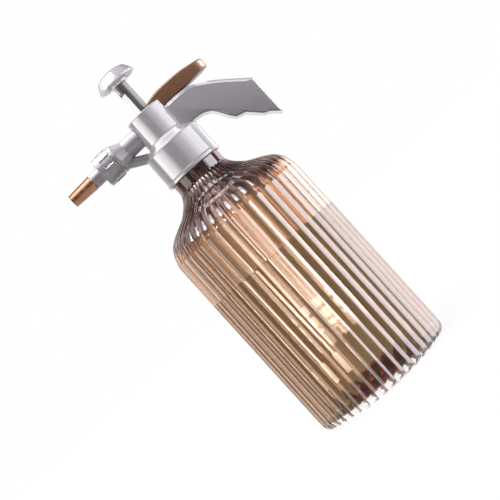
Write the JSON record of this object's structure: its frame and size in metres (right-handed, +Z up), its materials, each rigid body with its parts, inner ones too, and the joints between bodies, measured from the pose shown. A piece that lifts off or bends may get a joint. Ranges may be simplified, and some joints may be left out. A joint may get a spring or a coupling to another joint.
{
  "type": "hand mister",
  "caption": "Upright pump pressure sprayer: fluted amber bottle, screw-on white head with drooping grip, thumb trigger, pump plunger and adjustable side nozzle.",
  "frame": {"origin": "centre of the ring that the bottle stands on, level with its underside", "axes": "+Z up along the bottle, -X towards the spray nozzle, +X towards the handle"},
  "size_m": [0.1581, 0.116, 0.3025],
  "materials": {
    "amber_bottle": "clear amber, glossy",
    "white_plastic": "satin to gloss moulding",
    "brown_plastic": "satin moulding",
    "copper_tip": "copper-coloured turned metal",
    "pale_plastic": "natural moulding",
    "black_rubber": "moulded seal",
    "steel": "drawn wire and turned pin",
    "dip_tube_plastic": "translucent extrusion"
  },
  "bodies": {
    "bottle": {"bottle": "amber_bottle"},
    "neck_seal": {"neck_gasket": "black_rubber"},
    "head": {"head_body": "white_plastic", "handle": "white_plastic", "nozzle_body": "white_plastic", "valve_bush": "pale_plastic", "valve_oring": "black_rubber", "valve_seat": "pale_plastic", "valve_spring": "steel", "nozzle_washer": "black_rubber", "nozzle_sleeve": "white_plastic", "nozzle_oring": "black_rubber", "swirl_insert": "pale_plastic", "trigger_pin": "steel", "rod_guide": "pale_plastic", "pump_barrel": "pale_plastic", "barrel_gasket": "black_rubber", "barrel_seat": "pale_plastic", "dip_tube": "dip_tube_plastic", "dip_strainer": "pale_plastic"},
    "plunger": {"plunger_rod": "white_plastic", "plunger_knob": "white_plastic", "piston": "pale_plastic", "piston_seal": "black_rubber"},
    "trigger": {"trigger": "brown_plastic"},
    "valve": {"valve_stem": "steel", "poppet_seal": "black_rubber"},
    "nut": {"nozzle_nut": "white_plastic"},
    "tip": {"nozzle_tip": "copper_tip"},
    "check": {"check_valve": "black_rubber"}
  },
  "joints": [
    {"name": "head_lift", "type": "slide", "parent": "bottle", "child": "neck_seal", "axis": [0, 0, 1], "range_m": [0, 0.00601]},
    {"name": "head_turn", "type": "hinge", "parent": "neck_seal", "child": "head", "pos_m": [0, 0, 0.22], "axis": [0, 0, 1], "range_deg": [0, 540]},
    {"name": "plunger_slide", "type": "slide", "parent": "head", "child": "plunger", "axis": [0, 0, 1], "range_m": [0, 0.12]},
    {"name": "trigger_pivot", "type": "hinge", "parent": "head", "child": "trigger", "pos_m": [-0.009, 0, 0.2415], "axis": [0, 1, 0], "range_deg": [0, 8], "stiffness_Nm_per_rad": 0.3, "springref_deg": -20.05},
    {"name": "valve_pull", "type": "slide", "parent": "head", "child": "valve", "axis": [0.9995, 0, 0.0314], "range_m": [0, 0.0016], "deforming": ["valve_spring"]},
    {"name": "nut_turn", "type": "hinge", "parent": "head", "child": "nut", "pos_m": [-0.016, 0, 0.25275], "axis": [-0.9995, 0, -0.0314], "range_deg": [0, 180]},
    {"name": "tip_turn", "type": "hinge", "parent": "head", "child": "tip", "pos_m": [-0.016, 0, 0.25275], "axis": [-0.9995, 0, -0.0314], "range_deg": [-180, 180]},
    {"name": "check_lift", "type": "slide", "parent": "head", "child": "check", "axis": [0, 0, -1], "range_m": [0, 0.0008], "stiffness_N_per_m": 100, "springref_m": -0.0005}
  ],
  "couplings": [
    {"joint": "head_lift", "follows": "head_turn", "m_per_rad": 0.00063662},
    {"joint": "valve_pull", "follows": "trigger_pivot", "m_per_rad": 0.0114}
  ]
}
